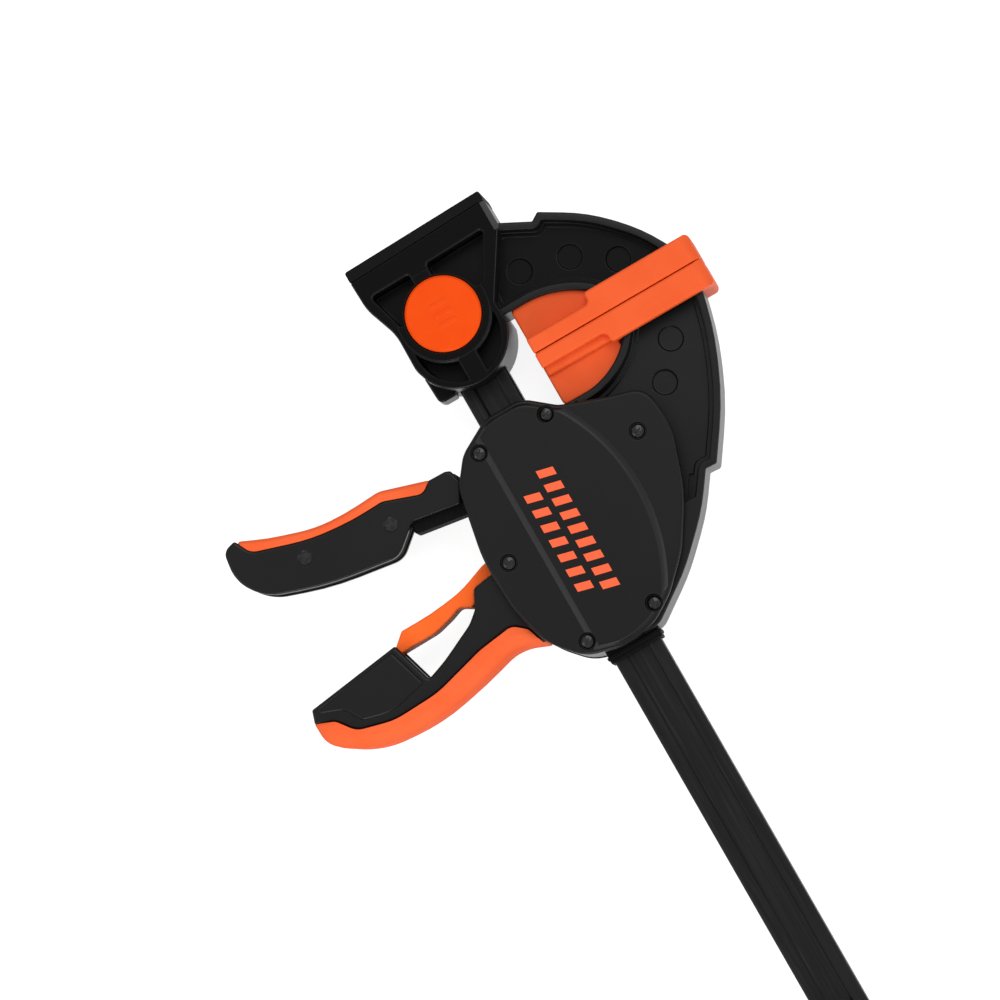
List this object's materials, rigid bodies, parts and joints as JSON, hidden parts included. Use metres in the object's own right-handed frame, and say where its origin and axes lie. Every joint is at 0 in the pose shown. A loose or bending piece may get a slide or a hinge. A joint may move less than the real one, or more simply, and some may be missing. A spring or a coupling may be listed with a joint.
{
  "type": "quick release bar clamp",
  "caption": "One-handed bar clamp: arched jaw fixed to a grooved bar, sliding jaw with squeeze lever, release trigger and grip, soft pads that meet, and a push button jaw latch.",
  "frame": {"origin": "on the rear cover's flat face, under the bar's centre line, near the middle of the moving jaw's housing", "axes": "+X along the bar from the fixed jaw to its free end, +Y from the handles to the jaw tips, +Z out of the front cover"},
  "size_m": [0.3454, 0.2175, 0.0403],
  "materials": {
    "black_nylon": "fine spark grain, matte",
    "cover_nylon": "fine spark grain, matte",
    "black_rubber": "matte",
    "guide_plastic": "smooth",
    "orange_pad": "satin, slightly soft",
    "orange_soft": "satin, soft touch",
    "orange_plastic": "satin",
    "orange_print": "flat print",
    "bar_steel": "black oxide, oiled",
    "lever_steel": "black, satin",
    "bright_steel": "ground",
    "screw_steel": "black zinc",
    "plate_steel": "hardened, dull",
    "spring_steel": "drawn wire"
  },
  "bodies": {
    "fixed_jaw": {"bar": "bar_steel", "bar_stop_pin": "bright_steel", "fixed_jaw_frame": "black_nylon", "spreader_pad": "black_rubber", "fixed_jaw_pad": "orange_pad", "button_spring": "spring_steel"},
    "latch": {"push_button": "orange_plastic", "latch_pin": "bright_steel", "latch_ring": "bright_steel"},
    "moving_jaw": {"moving_jaw_frame": "black_nylon", "front_cover": "cover_nylon", "rear_cover": "cover_nylon", "front_cover_screws": "screw_steel", "rear_cover_screws": "screw_steel", "cover_marks": "orange_print", "front_bar_guide": "guide_plastic", "rear_bar_collar": "guide_plastic", "moving_jaw_pad": "orange_pad", "grip_soft_back": "orange_soft", "lever_pivot_pin": "bright_steel", "drive_spring": "spring_steel", "brake_spring": "spring_steel", "trigger_pivot_pin": "bright_steel"},
    "lever": {"lever_core": "lever_steel", "lever_front_plate": "black_nylon", "lever_rear_plate": "black_nylon", "lever_soft_strip": "orange_soft", "lever_rivets": "screw_steel"},
    "drive": {"drive_plates": "plate_steel"},
    "release": {"release_trigger": "orange_plastic"},
    "brake": {"brake_plates": "plate_steel"}
  },
  "joints": [
    {"name": "jaw_slide", "type": "slide", "parent": "fixed_jaw", "child": "moving_jaw", "axis": [1, 0, 0], "range_m": [0, 0.152]},
    {"name": "button_push", "type": "slide", "parent": "fixed_jaw", "child": "latch", "axis": [0, 0, -1], "range_m": [0, 0.004], "stiffness_N_per_m": 600, "springref_m": -0.003, "deforming": ["button_spring"]},
    {"name": "lever_squeeze", "type": "hinge", "parent": "moving_jaw", "child": "lever", "pos_m": [-0.028, 0.021, 0.02], "axis": [0, 0, 1], "range_deg": [0, 14], "stiffness_Nm_per_rad": 2, "springref_deg": -11.46},
    {"name": "drive_feed", "type": "slide", "parent": "moving_jaw", "child": "drive", "axis": [1, 0, 0], "range_m": [0, 0.0053], "deforming": ["drive_spring"]},
    {"name": "release_pull", "type": "hinge", "parent": "moving_jaw", "child": "release", "pos_m": [0.0026, -0.0148, 0.02], "axis": [0, 0, 1], "range_deg": [0, 8], "stiffness_Nm_per_rad": 0.5, "springref_deg": -11.46},
    {"name": "brake_rock", "type": "hinge", "parent": "moving_jaw", "child": "brake", "pos_m": [0.0127, 0.0249, 0.02], "axis": [0, 0, 1], "range_deg": [0, 1.8], "deforming": ["brake_spring"]}
  ],
  "couplings": [
    {"joint": "drive_feed", "follows": "lever_squeeze", "m_per_rad": 0.021},
    {"joint": "brake_rock", "follows": "release_pull", "ratio": 0.21}
  ]
}
